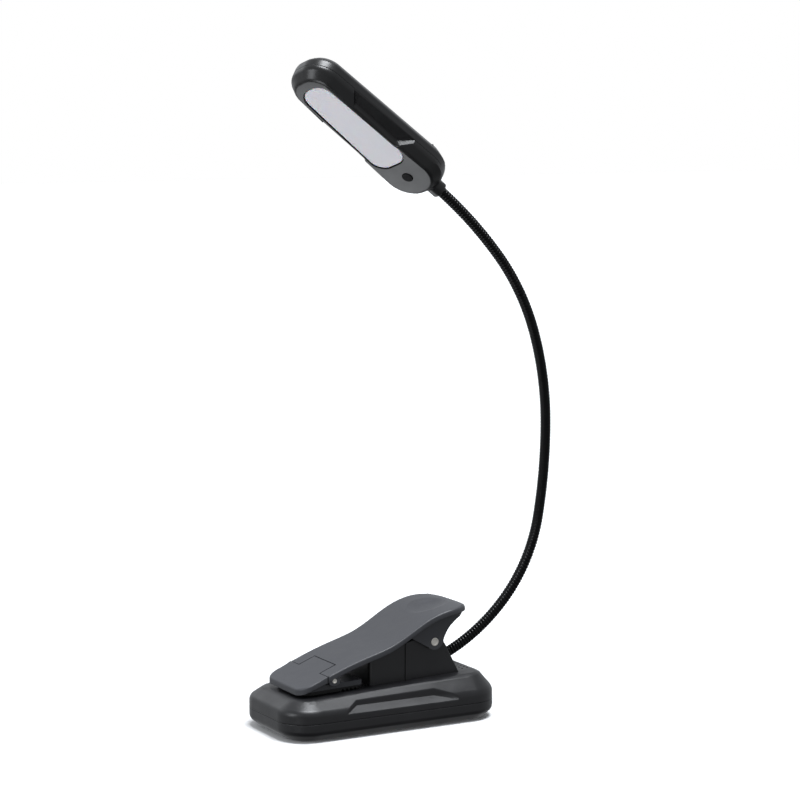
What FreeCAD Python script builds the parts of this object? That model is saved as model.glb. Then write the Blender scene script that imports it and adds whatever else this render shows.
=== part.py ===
import FreeCAD, Part
import math
import os

# A clip-on reading lamp: a battery base with a sprung clamp on top of it, a bendable metal
# neck, and a long flat head with a light panel. Millimetres, +Z up, resting on z = 0.
# +X is the rear (neck side), -X the jaw side; the origin is the middle of the underside.

V = FreeCAD.Vector

# ---- base ----
base_length = 96.0
base_width = 48.0
base_corner = 13.0
base_wall = 1.8
sole_inset = 4.3          # the underside stands in from the outline
sole_height = 3.5
parting_height = 7.5      # where the two base shells meet
shoulder_height = 12.0    # top of the upright band
deck_inset = 5.8
deck_height = 17.3        # at the middle of the base
deck_tilt = 2.0           # degrees, rising to the rear
waist_front = -18.0       # side facets cut into the upper shell
waist_rear = 17.0
waist_front_slant = 5.5
waist_rear_slant = 10.0
waist_depth = 3.1
waist_floor_inner = 12.4
waist_floor_outer = 10.0
base_screw_x = 37.0
base_screw_y = 13.5
boss_radius = 3.0
screw_head_radius = 1.9
screw_head_height = 1.4
screw_radius = 0.9
screw_hole_slack = 0.2
sink_depth = 2.2          # how deep a base screw head sits

# ---- post that carries the clamp and the neck ----
post_front = -7.5
post_seam = 8.5
post_rear = 33.5
post_half_width = 12.5
post_corner = 2.0
post_top_front = 27.4
post_top_seam = 33.0
post_wall = 2.0
seam_gap = 0.25
housing_top_x = 27.5      # upper end of the sloping rear face
housing_top_z = 30.0
lug_radius = 4.4
spring_slot_half = 6.9
spring_slot_floor = 28.4
wire_room_front = 12.5
wire_room_rear = 26.5
wire_room_half = 5.7
wire_room_top = 26.2
post_screw_x = 18.0
post_screw_y = 9.2
post_screw_radius = 1.0
post_screw_top = 27.0

# ---- clamp ----
pivot_x = 21.0
pivot_z = 32.5
pivot_radius = 1.7
running_gap = 0.05
lever_profile = [(-40.5, 19.4), (-30.0, 23.3), (-20.0, 27.1), (-9.0, 30.5), (0.0, 33.3),
                 (9.0, 37.9), (15.0, 41.3), (21.0, 43.9), (28.0, 45.6), (35.0, 45.9),
                 (41.5, 44.2)]
lever_drop = 2.5          # plate thickness measured upright
lever_front = -28.0
lever_tail = 38.9
lever_front_half = 16.4
lever_tail_half = 17.8
lever_tail_corner = 13.0
lever_front_corner = 0.6
ear_gap = 0.3             # between the post's side and the ear
ear_thick = 2.0
ear_inner = post_half_width + ear_gap
ear_outer = ear_inner + ear_thick
ear_radius = 4.0
ear_rise = 0.8            # the ear's rounding is centred above the pin
ear_setback = 0.7         # the ear stays this far inside the lever's outline
jaw_pin_x = -25.2
jaw_pin_z = 22.0
jaw_pin_radius = 1.0
jaw_boss_radius = 2.4
jaw_boss_inner = 14.2
jaw_boss_outer = 16.3
flap_tip = -40.0
flap_half = 15.8
flap_corner = 5.5
tongue_rear = -21.2
tongue_half = 9.0
flap_gap = 0.3
jaw_plate_half = 13.8
jaw_plate_front = -38.5
jaw_plate_rear = -12.0
jaw_plate_thick = 2.0
pad_front = -37.0
pad_half = 13.4
pad_thick = 1.6
pad_gap = 0.3             # running gap between pad and deck with the clamp shut
tooth_pitch = 1.8
tooth_depth = 0.9
tooth_count = 5

# ---- clamp spring ----
spring_wire = 1.2
spring_leg_radius = 0.57
spring_mean_radius = 3.4
spring_turns = 6
spring_first_y = -4.4
spring_pitch = 1.05                # centre to centre, so that the drawn rings stay one solid

# ---- neck ----
neck_start_x = 23.2
neck_start_z = 19.4
neck_start_heading = 20.2          # degrees above +X
neck_root = 8.0                    # straight length held in the post
span_length = 38.1
span_turns = [27.4, 32.2, 10.1, 16.8, 22.7, 12.4]
hose_radius = 2.2
hose_bore = 1.2
cable_radius = 0.8
ball_gap = 0.1                     # between a span's ball end and the next span's cup
cable_end = 2.0                    # cable ends this far past a ball centre
cable_start = 2.5
hose_in_head = 5.0
ferrule_radius = 3.2
ferrule_ahead = 7.5                # how far the ferrule runs along the neck from its start
ferrule_behind = 0.5
nut_half_flat = 4.5
nut_height = 2.5
head_nut_half_flat = 4.0
head_nut_height = 2.0

# ---- head ----
head_twist = 23.0                  # turn of the light panel towards -Y
head_offset = 4.0                  # from the end of the last span to the head
head_length = 75.0
head_width_neck = 27.7
head_width_tip = 22.6
head_thick = 12.4
head_inset = 2.9
head_wall = 1.5
head_band_back = -2.8              # upright band of the outline, in thickness
head_band_face = 2.2
head_seam = 0.5
head_waist_near = 29.0
head_waist_far = 52.0
head_waist_slant = 5.0
head_waist_depth = 3.2
head_waist_floor_inner = 2.9
head_waist_floor_outer = 0.8
head_waist_wall = 0.8
lens_start = 20.0
lens_length = 47.5
lens_width_neck = 17.5
lens_width_tip = 13.6
lens_corner = 6.0
lens_gap = 0.3
lens_flange = 0.6
lens_recess = 0.35
collar_radius = 3.4
collar_length = 3.8
collar_seat = 0.9                  # flat seat cut into the head's end
collar_neck_radius = 3.0
collar_neck_end = 6.4
head_end_pad = 3.5                 # thickened end wall that the neck nut pulls on
led_board_start = 9.0
led_board_end = 67.0
led_board_width = 12.0
led_board_bottom = 0.8
led_board_thick = 1.0
led_columns = 5
button_x = 12.5
button_radius = 2.3
button_proud = 0.35
button_travel = 0.4
head_screws_at = [(12.0, -9.2), (12.0, 9.2), (71.2, 0.0)]
head_boss_radius = 1.8
head_screw_radius = 0.7
head_screw_head = 1.3

# ---- electronics in the base ----
battery_front = -32.0
battery_rear = 8.0
battery_half = 16.0
battery_thick = 6.0
tape_thick = 0.3
board_front = 11.8
board_rear_gap = 2.8               # board edge to the rear end of the base
board_rear = base_length / 2 - board_rear_gap
board_half = 10.0
board_bottom = 7.0
board_thick = 1.6
usb_length = 7.3
usb_width = 8.94
usb_height = 3.16
usb_slack = 0.15
light_row_x = [37.2, 39.5]
light_pitch = 2.5
light_columns = 8
light_hole_radius = 0.45
status_led_x = 36.6
status_led_height = 0.8

deck_slope = math.tan(math.radians(deck_tilt))


def deck_z(x):
    return deck_height + x * deck_slope


# ---- outlines and simple solids ----

def rounded_wire(points, radii, z=0.0):
    """Closed outline in a level plane, each corner rounded by its own radius."""
    count = len(points)
    corners = []
    for i in range(count):
        before, here, after = (V(*points[(i + k) % count], 0) for k in (-1, 0, 1))
        to_before = (before - here).normalize()
        to_after = (after - here).normalize()
        half = to_before.getAngle(to_after) / 2
        setback = radii[i] / math.tan(half)
        middle = (to_before + to_after).normalize()
        reach = radii[i] / math.sin(half) - radii[i]
        corners.append((here + to_before * setback, here + middle * reach,
                        here + to_after * setback))
    edges = []
    for i in range(count):
        start, mid, end = corners[i]
        edges.append(Part.Arc(start, mid, end).toShape())
        edges.append(Part.LineSegment(end, corners[(i + 1) % count][0]).toShape())
    wire = Part.Wire(edges)
    wire.translate(V(0, 0, z))
    return wire


def prism(wire, height):
    return Part.Face(wire).extrude(V(0, 0, height))


def stack(wires):
    return Part.makeLoft(wires, True, True)


def side_prism(points, y_low, y_high):
    """Solid whose side view is a polygon of (x, z) points."""
    wire = Part.makePolygon([V(x, y_low, z) for x, z in points + points[:1]])
    return Part.Face(wire).extrude(V(0, y_high - y_low, 0))


def side_disc(x, z, radius, y_low, y_high):
    return Part.makeCylinder(radius, y_high - y_low, V(x, y_low, z), V(0, 1, 0))


def box(x_low, x_high, y_low, y_high, z_low, z_high):
    return Part.makeBox(x_high - x_low, y_high - y_low, z_high - z_low, V(x_low, y_low, z_low))


def rod(radius, start, end):
    return Part.makeCylinder(radius, (end - start).Length, start, end - start)


def both_sides(solid):
    """The solid and its mirror image across the XZ plane."""
    return [solid, solid.mirror(V(0, 0, 0), V(0, 1, 0))]


def fuse(solids):
    return solids[0].multiFuse(solids[1:]).removeSplitter()


def cut(solid, tools):
    return solid.cut(Part.makeCompound(tools))


def tube(points, radius):
    """Round cord along straight runs joined by tangent arcs."""
    runs = [(b - a).Length for a, b in zip(points, points[1:])]
    edges = []
    last = points[0]
    for i in range(1, len(points) - 1):
        into = (points[i] - points[i - 1]).normalize()
        out = (points[i + 1] - points[i]).normalize()
        turn = into.getAngle(out)
        setback = 0.45 * min(runs[i - 1], runs[i])
        bend = setback / math.tan(turn / 2)
        print("cord bend radius", round(bend, 2))
        start = points[i] - into * setback
        end = points[i] + out * setback
        middle = (out - into).normalize()
        mid = points[i] + middle * (bend / math.cos(turn / 2) - bend)
        edges.append(Part.LineSegment(last, start).toShape())
        edges.append(Part.Arc(start, mid, end).toShape())
        last = end
    edges.append(Part.LineSegment(last, points[-1]).toShape())
    path = Part.Wire(edges)
    circle = Part.Wire(Part.makeCircle(radius, points[0], points[1] - points[0]))
    return path.makePipeShell([circle], True, True)


def screw(x, y, head_z, head_radius, head_height, shank_radius, tip_z):
    """Screw along Z with its head at head_z, pointing to tip_z."""
    way = 1 if tip_z > head_z else -1
    head = Part.makeCylinder(head_radius, head_height, V(x, y, head_z), V(0, 0, way))
    shank = rod(shank_radius, V(x, y, head_z + way * head_height * 0.5), V(x, y, tip_z))
    drive = Part.makeCylinder(head_radius * 0.42, head_height * 0.6, V(x, y, head_z), V(0, 0, way))
    return head.fuse(shank).cut(drive)


# ---- base shells ----

def base_wire(inset, z, tilt=0.0):
    half_length = base_length / 2 - inset
    half_width = base_width / 2 - inset
    corner = max(base_corner - inset, 2.0)
    points = [(-half_length, -half_width), (half_length, -half_width),
              (half_length, half_width), (-half_length, half_width)]
    wire = rounded_wire(points, [corner] * 4, z)
    wire.rotate(V(0, 0, z), V(0, -1, 0), tilt)
    return wire


def waist_cutter(front, rear, slants, outline_half, depth, floor_inner, floor_outer, top):
    """Facet cut into the +Y side: slanted ends, upright inner face, sloping floor."""
    inner = outline_half - depth
    outer = outline_half + depth
    front_grow, rear_grow = (slant * (outer - inner) / depth for slant in slants)
    plan = Part.makePolygon([V(front, inner, 0), V(rear, inner, 0), V(rear + rear_grow, outer, 0),
                             V(front - front_grow, outer, 0), V(front, inner, 0)])
    block = prism(plan, top + 5)
    drop = floor_inner - floor_outer
    below = Part.makePolygon([V(-200, inner - 1, floor_inner + drop / depth),
                              V(-200, outer + 1, floor_outer - drop * (depth + 1) / depth),
                              V(-200, outer + 1, -50), V(-200, inner - 1, -50),
                              V(-200, inner - 1, floor_inner + drop / depth)])
    return block.cut(Part.Face(below).extrude(V(400, 0, 0)))


def base_screw_places():
    return [(sx * base_screw_x, sy * base_screw_y) for sx in (-1, 1) for sy in (-1, 1)]


def make_bottom_shell():
    outer = stack([base_wire(sole_inset, 0), base_wire(0, sole_height),
                   base_wire(0, parting_height)])
    room = stack([base_wire(sole_inset + base_wall * 0.6, base_wall),
                  base_wire(base_wall, sole_height + base_wall * 0.6),
                  base_wire(base_wall, parting_height + 1)])
    bosses = [Part.makeCylinder(boss_radius, parting_height - 1, V(x, y, 1))
              for x, y in base_screw_places()]
    board_posts = [Part.makeCylinder(1.5, board_bottom - 1, V(x, y, 1))
                   for x in (board_front + 3, board_rear - 4)
                   for y in (-board_half + 2.5, board_half - 2.5)]
    shell = fuse([outer.cut(room)] + bosses + board_posts)
    sinks = [Part.makeCylinder(screw_head_radius + screw_hole_slack, sink_depth, V(x, y, 0))
             for x, y in base_screw_places()]
    holes = [Part.makeCylinder(screw_radius + screw_hole_slack, parting_height + 1, V(x, y, 0))
             for x, y in base_screw_places()]
    return cut(shell, sinks + holes)


def make_top_shell():
    outer = stack([base_wire(0, parting_height), base_wire(0, shoulder_height)])
    crown = stack([base_wire(0, shoulder_height), base_wire(deck_inset, deck_height, deck_tilt)])
    front_block = side_prism([(post_front, deck_z(post_front) - 1),
                              (post_seam, deck_z(post_seam) - 1),
                              (post_seam, post_top_seam), (post_front, post_top_front)],
                             -post_half_width, post_half_width)
    upright = [e for e in front_block.Edges
               if abs(e.Vertexes[0].X - post_front) < 0.01
               and abs(e.Vertexes[1].X - post_front) < 0.01
               and abs(e.Vertexes[0].Z - e.Vertexes[1].Z) > 1]
    front_block = front_block.makeFillet(post_corner, upright)
    solid = fuse([outer, crown, front_block])
    waist = waist_cutter(waist_front, waist_rear, (waist_front_slant, waist_rear_slant),
                         base_width / 2, waist_depth, waist_floor_inner, waist_floor_outer,
                         deck_height)
    room = stack([base_wire(base_wall, parting_height - 1),
                  base_wire(base_wall, shoulder_height - base_wall * 0.5)])
    loft = stack([base_wire(base_wall, shoulder_height - base_wall * 0.5),
                  base_wire(deck_inset + base_wall * 0.6, deck_height - base_wall, deck_tilt)])
    block_room = side_prism([(post_front + post_wall, deck_z(post_front) - 4),
                             (post_seam - post_wall, deck_z(post_seam) - 4),
                             (post_seam - post_wall, post_top_seam - 3.4),
                             (post_front + post_wall, post_top_front - 2.4)],
                            -post_half_width + post_wall, post_half_width - post_wall)
    inside = fuse([room, loft, block_room])
    waist_backs = both_sides(box(waist_front - waist_front_slant, waist_rear + waist_rear_slant,
                                 base_width / 2 - waist_depth - base_wall, base_width / 2,
                                 parting_height + 0.6, deck_height + 2))
    inside = cut(inside, waist_backs)
    solid = cut(solid, both_sides(waist) + [inside])
    bosses = [Part.makeCylinder(boss_radius, deck_z(x) - 0.8 - parting_height,
                                V(x, y, parting_height)) for x, y in base_screw_places()]
    under_deck = stack([base_wire(1, parting_height), base_wire(1, shoulder_height)])
    under_crown = stack([base_wire(1, shoulder_height),
                         base_wire(deck_inset + 0.5, deck_height - 1, deck_tilt)])
    bosses = [boss.common(fuse([under_deck, under_crown])) for boss in bosses]
    solid = fuse([solid] + bosses)
    pilots = [Part.makeCylinder(screw_radius, 6, V(x, y, parting_height - 1))
              for x, y in base_screw_places()]
    wire_way = box(wire_room_front, wire_room_rear + 4, -wire_room_half, wire_room_half,
                   parting_height + 3, deck_height + 4)
    post_holes = [Part.makeCylinder(post_screw_radius + screw_hole_slack, 8,
                                    V(post_screw_x, y, deck_z(post_screw_x) - 5))
                  for y in (-post_screw_y, post_screw_y)]
    lights = [Part.makeCylinder(light_hole_radius, 6, V(x, y, deck_z(x) - 4))
              for x in light_row_x for y in light_ys()]
    usb_mid = board_bottom + board_thick + usb_height / 2
    socket_hole = rounded_box(base_length / 2 - 4, base_length / 2 + 1,
                              usb_width / 2 + usb_slack, usb_height / 2 + usb_slack, usb_mid)
    return cut(solid, pilots + [wire_way, socket_hole] + post_holes + lights)


def light_ys():
    return [(i - (light_columns - 1) / 2) * light_pitch for i in range(light_columns)]


def rounded_box(x_low, x_high, half_width, half_height, z_mid):
    """Stadium-ended slot along X."""
    flat = half_width - half_height
    middle = box(x_low, x_high, -flat, flat, z_mid - half_height, z_mid + half_height)
    ends = [Part.makeCylinder(half_height, x_high - x_low, V(x_low, y, z_mid), V(1, 0, 0))
            for y in (-flat, flat)]
    return fuse([middle] + ends)


def make_base_screws():
    head_z = sink_depth
    return [screw(x, y, head_z - screw_head_height, screw_head_radius, screw_head_height,
                  screw_radius, parting_height + 4.5) for x, y in base_screw_places()]


# ---- base contents ----

def make_battery():
    low = base_wall + tape_thick
    cell = box(battery_front, battery_rear, -battery_half, battery_half,
               low, low + battery_thick)
    ends = [e for e in cell.Edges if abs(e.Vertexes[0].Y - e.Vertexes[1].Y) < 0.01
            and abs(e.Vertexes[0].Z - e.Vertexes[1].Z) < 0.01]
    return cell.makeFillet(1.8, ends)


def make_tape():
    return box(battery_front + 5, battery_rear - 5, -battery_half + 4, battery_half - 4,
               base_wall, base_wall + tape_thick)


def make_battery_leads():
    height = base_wall + tape_thick + battery_thick * 0.4
    leads = []
    for y in (-3.0, 3.0):
        leads.append(tube([V(battery_rear, y, height), V(board_front + 1.2, y, height),
                           V(board_front + 1.2, y, board_bottom)], 0.5))
    return leads


def make_board():
    return box(board_front, board_rear, -board_half, board_half,
               board_bottom, board_bottom + board_thick)


def board_top():
    return board_bottom + board_thick


def make_chips():
    sizes = [(20.0, -6.0, 5.0, 4.0, 1.2), (20.0, 6.0, 4.0, 4.0, 2.4), (29.0, -5.5, 3.0, 3.0, 1.0),
             (28.5, 5.0, 6.0, 5.0, 1.5),
             (status_led_x, 0.0, 1.6, 1.6, status_led_height)]
    return [box(x - a / 2, x + a / 2, y - b / 2, y + b / 2, board_top(), board_top() + h)
            for x, y, a, b, h in sizes]


def make_usb_socket():
    rear = base_length / 2 - base_wall
    mid = board_top() + usb_height / 2
    shell = rounded_box(rear - usb_length, rear, usb_width / 2, usb_height / 2, mid)
    room = rounded_box(rear - usb_length + 1, rear + 1, usb_width / 2 - 0.3,
                       usb_height / 2 - 0.3, mid)
    blade = box(rear - usb_length + 0.5, rear - 0.8, -3.35, 3.35, mid - 0.35, mid + 0.35)
    return fuse([shell.cut(room), blade])


def make_light_guide():
    """Clear bar under the deck with a pin in each light hole and a stem down to the LED."""
    x_mid = sum(light_row_x) / 2
    bar = box(x_mid - 2.3, x_mid + 2.3, light_ys()[0] - 1, light_ys()[-1] + 1, -1.2, 0)
    bar.rotate(V(x_mid, 0, 0), V(0, -1, 0), deck_tilt)
    bar.translate(V(0, 0, deck_z(x_mid) - base_wall - 0.05))
    pins = [Part.makeCylinder(light_hole_radius - 0.05, base_wall + 0.6,
                              V(x, y, deck_z(x) - base_wall - 0.8))
            for x in light_row_x for y in light_ys()]
    stem_low = board_top() + status_led_height + 0.2
    stem = rod(1.1, V(status_led_x, 0, stem_low),
               V(status_led_x, 0, deck_z(status_led_x) - base_wall - 0.6))
    return fuse([bar, stem] + pins)


# ---- post rear housing ----

def neck_axis():
    heading = math.radians(neck_start_heading)
    return V(math.cos(heading), 0, math.sin(heading))


def neck_start():
    return V(neck_start_x, 0, neck_start_z)


def make_housing():
    profile = [(post_seam + seam_gap, deck_z(post_seam + seam_gap)),
               (post_rear, deck_z(post_rear)), (housing_top_x, housing_top_z),
               (pivot_x + lug_radius * 0.72, pivot_z + lug_radius * 0.69),
               (pivot_x - lug_radius * 0.72, pivot_z + lug_radius * 0.69),
               (post_seam + seam_gap, post_top_seam - 0.2)]
    body = side_prism(profile, -post_half_width, post_half_width)
    lugs = side_disc(pivot_x, pivot_z, lug_radius, -post_half_width, post_half_width)
    slot = box(pivot_x - 7.5, post_rear, -spring_slot_half, spring_slot_half,
               spring_slot_floor, pivot_z + 12)
    room = box(wire_room_front, wire_room_rear, -wire_room_half, wire_room_half,
               deck_height - 3, wire_room_top)
    axis = neck_axis()
    neck_bore = rod(ferrule_radius, neck_start() - axis * 2, neck_start() + axis * 14)
    neck_bore = neck_bore.common(box(0, 60, -5, 5, deck_height - 5, 60))
    pin_bore = side_disc(pivot_x, pivot_z, pivot_radius, -20, 20)
    screw_bores = [Part.makeCylinder(post_screw_radius, post_screw_top - deck_height + 2,
                                     V(post_screw_x, y, deck_height - 2))
                   for y in (-post_screw_y, post_screw_y)]
    return cut(fuse([body, lugs]), [slot, room, neck_bore, pin_bore] + screw_bores)


def make_post_screws():
    under = deck_z(post_screw_x) - base_wall - 0.1
    return [screw(post_screw_x, y, under - screw_head_height, screw_head_radius,
                  screw_head_height, post_screw_radius, post_screw_top - 1)
            for y in (-post_screw_y, post_screw_y)]


def make_pivot_pin():
    pin = side_disc(pivot_x, pivot_z, pivot_radius, -ear_outer, ear_outer)
    rims = [e for e in pin.Edges if e.Curve.TypeId == "Part::GeomCircle"]
    return pin.makeChamfer(0.25, rims)


# ---- clamp spring ----

def spring_turn(y):
    """One turn of the spring, as a ring around the pivot pin."""
    return Part.makeTorus(spring_mean_radius, spring_wire / 2, V(pivot_x, y, pivot_z), V(0, 1, 0))


def spring_ys():
    return [spring_first_y + i * spring_pitch for i in range(spring_turns)]


def make_spring_coil():
    ys = spring_ys()
    low, high = ys[0], ys[-1]
    sleeve = side_disc(pivot_x, pivot_z, spring_mean_radius + 0.25, low, high).cut(
        side_disc(pivot_x, pivot_z, spring_mean_radius - 0.25, low, high))
    leg_z = pivot_z - spring_mean_radius
    leg = rod(spring_leg_radius, V(pivot_x, low, leg_z), V(housing_top_x - 1.2, low, leg_z))
    return fuse([sleeve, leg] + [spring_turn(y) for y in ys])


def make_spring_arm():
    y = spring_ys()[-1] + spring_wire + 0.15
    tip = V(32.5, y, lever_underside(32.5) - spring_wire / 2 - 0.15)
    centre = V(pivot_x, y, pivot_z)
    reach = tip - centre
    lean = math.acos(spring_mean_radius / reach.Length)
    angle = math.atan2(reach.z, reach.x) - lean
    root = centre + V(math.cos(angle), 0, math.sin(angle)) * spring_mean_radius
    root = root - (tip - root).normalize() * spring_wire / 3
    return fuse([spring_turn(y), rod(spring_leg_radius, root, tip)])


# ---- lever ----

def profile_edge(drop):
    curve = Part.BSplineCurve()
    curve.interpolate([V(x, 0, z - drop) for x, z in lever_profile])
    return curve.toShape()


def profile_solid(drop_top, drop_bottom, half=22.0):
    """Solid between the lever's top profile and the same profile lowered."""
    top = profile_edge(drop_top)
    bottom = profile_edge(drop_bottom)
    first, last = lever_profile[0], lever_profile[-1]
    left = Part.LineSegment(V(first[0], 0, first[1] - drop_bottom),
                            V(first[0], 0, first[1] - drop_top)).toShape()
    right = Part.LineSegment(V(last[0], 0, last[1] - drop_top),
                             V(last[0], 0, last[1] - drop_bottom)).toShape()
    face = Part.Face(Part.Wire([left, top, right, bottom]))
    face.translate(V(0, -half, 0))
    return face.extrude(V(0, 2 * half, 0))


def lever_underside(x):
    probe = Part.makeLine(V(x, 0, 0), V(x, 0, 80))
    return probe.distToShape(profile_edge(lever_drop))[1][0][0].z


def lever_half(x):
    share = (x - lever_front) / (lever_tail - lever_front)
    return lever_front_half + (lever_tail_half - lever_front_half) * share


def lever_plan(inset):
    tail, front_half, tail_half = (size - inset for size in
                                   (lever_tail, lever_front_half, lever_tail_half))
    corner = lever_tail_corner - inset
    return rounded_wire([(lever_front, -front_half), (tail, -tail_half), (tail, tail_half),
                         (lever_front, front_half)],
                        [lever_front_corner, corner, corner, lever_front_corner])


def make_lever():
    plate = profile_solid(0, lever_drop).common(prism(lever_plan(0), 60))
    fork_slot = box(lever_front - 5, tongue_rear + flap_gap, -tongue_half - flap_gap,
                    tongue_half + flap_gap, 0, 60)
    plate = plate.cut(fork_slot)
    ear_mid = pivot_z + ear_rise
    ear_low = (pivot_x + ear_radius * math.cos(math.radians(225)),
               ear_mid + ear_radius * math.sin(math.radians(225)))
    ear = side_prism([(9.0, 35.8), ear_low, (pivot_x, pivot_z), (pivot_x + ear_radius, ear_mid),
                      (26.2, 35.8), (28.2, 38.3), (31.0, 40.7), (34.5, 43.0), (37.0, 44.4),
                      (37.0, 50.0), (9.0, 50.0)], ear_inner, ear_outer)
    ear = ear.fuse(side_disc(pivot_x, ear_mid, ear_radius, ear_inner, ear_outer))
    ear = ear.common(profile_solid(0.6, 30.0)).common(prism(lever_plan(ear_setback), 60))
    boss = side_disc(jaw_pin_x, jaw_pin_z, jaw_boss_radius, jaw_boss_inner, jaw_boss_outer)
    solid = fuse([plate] + both_sides(ear) + both_sides(boss))
    pivot_bore = side_disc(pivot_x, pivot_z, pivot_radius + running_gap, -20, 20)
    pin_bore = side_disc(jaw_pin_x, jaw_pin_z, jaw_pin_radius, -20, 20)
    return cut(solid, [pivot_bore, pin_bore])


def make_jaw_pin():
    pin = side_disc(jaw_pin_x, jaw_pin_z, jaw_pin_radius, -jaw_boss_outer, jaw_boss_outer)
    rims = [e for e in pin.Edges if e.Curve.TypeId == "Part::GeomCircle"]
    return pin.makeChamfer(0.15, rims)


# ---- jaw ----

def level_slab(x_low, x_high, low, high, half):
    """Plate parallel to the deck, between two heights above it."""
    return side_prism([(x_low, deck_z(x_low) + low), (x_high, deck_z(x_high) + low),
                       (x_high, deck_z(x_high) + high), (x_low, deck_z(x_low) + high)],
                      -half, half)


def make_jaw_flap():
    shoulder = lever_front - flap_gap
    flap_plan = rounded_wire([(flap_tip, -flap_half), (shoulder, -lever_half(shoulder)),
                              (shoulder, lever_half(shoulder)), (flap_tip, flap_half)],
                             [flap_corner, 0.3, 0.3, flap_corner], 0)
    tongue = box(shoulder - 2, tongue_rear, -tongue_half, tongue_half, 0, 60)
    plan = fuse([prism(flap_plan, 60), tongue])
    plate = profile_solid(0, lever_drop).common(plan)
    under = pad_gap + pad_thick
    jaw_plate = level_slab(jaw_plate_front, jaw_plate_rear, under, under + jaw_plate_thick,
                           jaw_plate_half)
    knuckle = side_disc(jaw_pin_x, jaw_pin_z, jaw_boss_radius - 0.1, -tongue_half, tongue_half)
    webs = both_sides(box(jaw_plate_front + 2, shoulder - 0.3, tongue_half, tongue_half + 3,
                          deck_z(shoulder) + under + 0.2, 30))
    below_skin = profile_solid(0.8, 12.0)
    webs = [web.common(below_skin) for web in webs]
    front_trim = prism(flap_plan, 60)
    rear_room = box(shoulder, 0, -20, 20, 0, 60)
    jaw_plate = jaw_plate.common(fuse([front_trim, rear_room]))
    solid = fuse([plate, jaw_plate, knuckle] + webs)
    bore = side_disc(jaw_pin_x, jaw_pin_z, jaw_pin_radius + running_gap, -20, 20)
    return solid.cut(bore)


def make_jaw_pad():
    plan = rounded_wire([(pad_front, -pad_half), (jaw_plate_rear, -pad_half),
                         (jaw_plate_rear, pad_half), (pad_front, pad_half)],
                        [4.0, 0.5, 0.5, 4.0], 0)
    pad = level_slab(pad_front, jaw_plate_rear, pad_gap, pad_gap + pad_thick, pad_half)
    pad = pad.common(prism(plan, 60))
    grooves = []
    for i in range(tooth_count):
        x = jaw_plate_rear - tooth_pitch * (i + 0.5)
        z = deck_z(x) + pad_gap
        grooves.append(side_prism([(x - tooth_pitch / 2 + 0.1, z - 0.2),
                                   (x + tooth_pitch / 2 - 0.1, z - 0.2),
                                   (x, z + tooth_depth)], -20, 20))
    return cut(pad, grooves)


# ---- neck ----

def neck_spans():
    """Start point, start heading and turn of each span, all in the XZ plane."""
    axis = neck_axis()
    point = neck_start() + axis * neck_root
    heading = neck_start_heading
    spans = []
    for turn in span_turns:
        spans.append((point, heading, turn))
        radius = span_length / math.radians(turn)
        a, b = math.radians(heading), math.radians(heading + turn)
        point = point + V(radius * (math.sin(b) - math.sin(a)), 0,
                          radius * (math.cos(a) - math.cos(b)))
        heading += turn
    spans.append((point, heading, 0))
    return spans


def along(heading):
    return V(math.cos(math.radians(heading)), 0, math.sin(math.radians(heading)))


def bent_rod(span, radius, start=0.0, end=None):
    """Round bar along one span, between two lengths measured from its start."""
    point, heading, turn = span
    end = span_length if end is None else end
    bend = span_length / math.radians(turn)
    left = V(-math.sin(math.radians(heading)), 0, math.cos(math.radians(heading)))
    centre = point + left * bend
    disc = Part.Face(Part.Wire(Part.makeCircle(radius, point, along(heading))))
    disc.rotate(centre, V(0, -1, 0), turn * start / span_length)
    return disc.revolve(centre, V(0, -1, 0), turn * (end - start) / span_length)


def make_hose_span(index):
    spans = neck_spans()
    span, after = spans[index], spans[index + 1]
    first, last = index == 0, index == len(span_turns) - 1
    pieces = [bent_rod(span, hose_radius)]
    bores = [bent_rod(span, hose_bore)]
    if first:
        pieces.append(rod(hose_radius, neck_start(), span[0]))
        bores.append(rod(hose_bore, neck_start() - neck_axis(), span[0]))
    else:
        bores.append(Part.makeSphere(hose_radius + ball_gap, span[0]))
        bores.append(rod(hose_bore, span[0] - along(span[1]), span[0]))
    tip = after[0] + along(after[1]) * (head_offset + hose_in_head)
    if last:
        pieces.append(rod(hose_radius, after[0], tip))
        bores.append(rod(hose_bore, after[0], tip + along(after[1])))
    else:
        pieces.append(Part.makeSphere(hose_radius, after[0], along(after[1]), 0, 90, 360))
        bores.append(rod(hose_bore, after[0], after[0] + along(after[1]) * 5))
    return cut(fuse(pieces), bores)


def make_cable_span(index):
    spans = neck_spans()
    span, after = spans[index], spans[index + 1]
    first, last = index == 0, index == len(span_turns) - 1
    start = 0.0 if first else cable_start
    pieces = [bent_rod(span, cable_radius, start)]
    if first:
        pieces.append(rod(cable_radius, neck_start(), span[0]))
    reach = head_offset + hose_in_head if last else cable_end
    pieces.append(rod(cable_radius, after[0], after[0] + along(after[1]) * reach))
    return fuse(pieces)


def hex_nut(centre, axis, half_flat, height, bore):
    corners = []
    for i in range(7):
        angle = math.radians(60 * i + 30)
        corners.append(V(half_flat / math.cos(math.radians(30)) * math.cos(angle),
                         half_flat / math.cos(math.radians(30)) * math.sin(angle), 0))
    nut = prism(Part.makePolygon(corners), height)
    nut = nut.cut(Part.makeCylinder(bore, height))
    nut.Placement = FreeCAD.Placement(centre, FreeCAD.Rotation(V(0, 0, 1), axis))
    return nut


def make_base_ferrule():
    axis = neck_axis()
    sleeve = rod(ferrule_radius, neck_start() - axis * ferrule_behind,
                 neck_start() + axis * ferrule_ahead)
    return sleeve.cut(rod(hose_radius, neck_start() - axis, neck_start() + axis * 9))


def make_base_nut():
    return hex_nut(neck_start() - neck_axis() * 0.6, neck_axis(), nut_half_flat, nut_height,
                   ferrule_radius)


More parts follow.
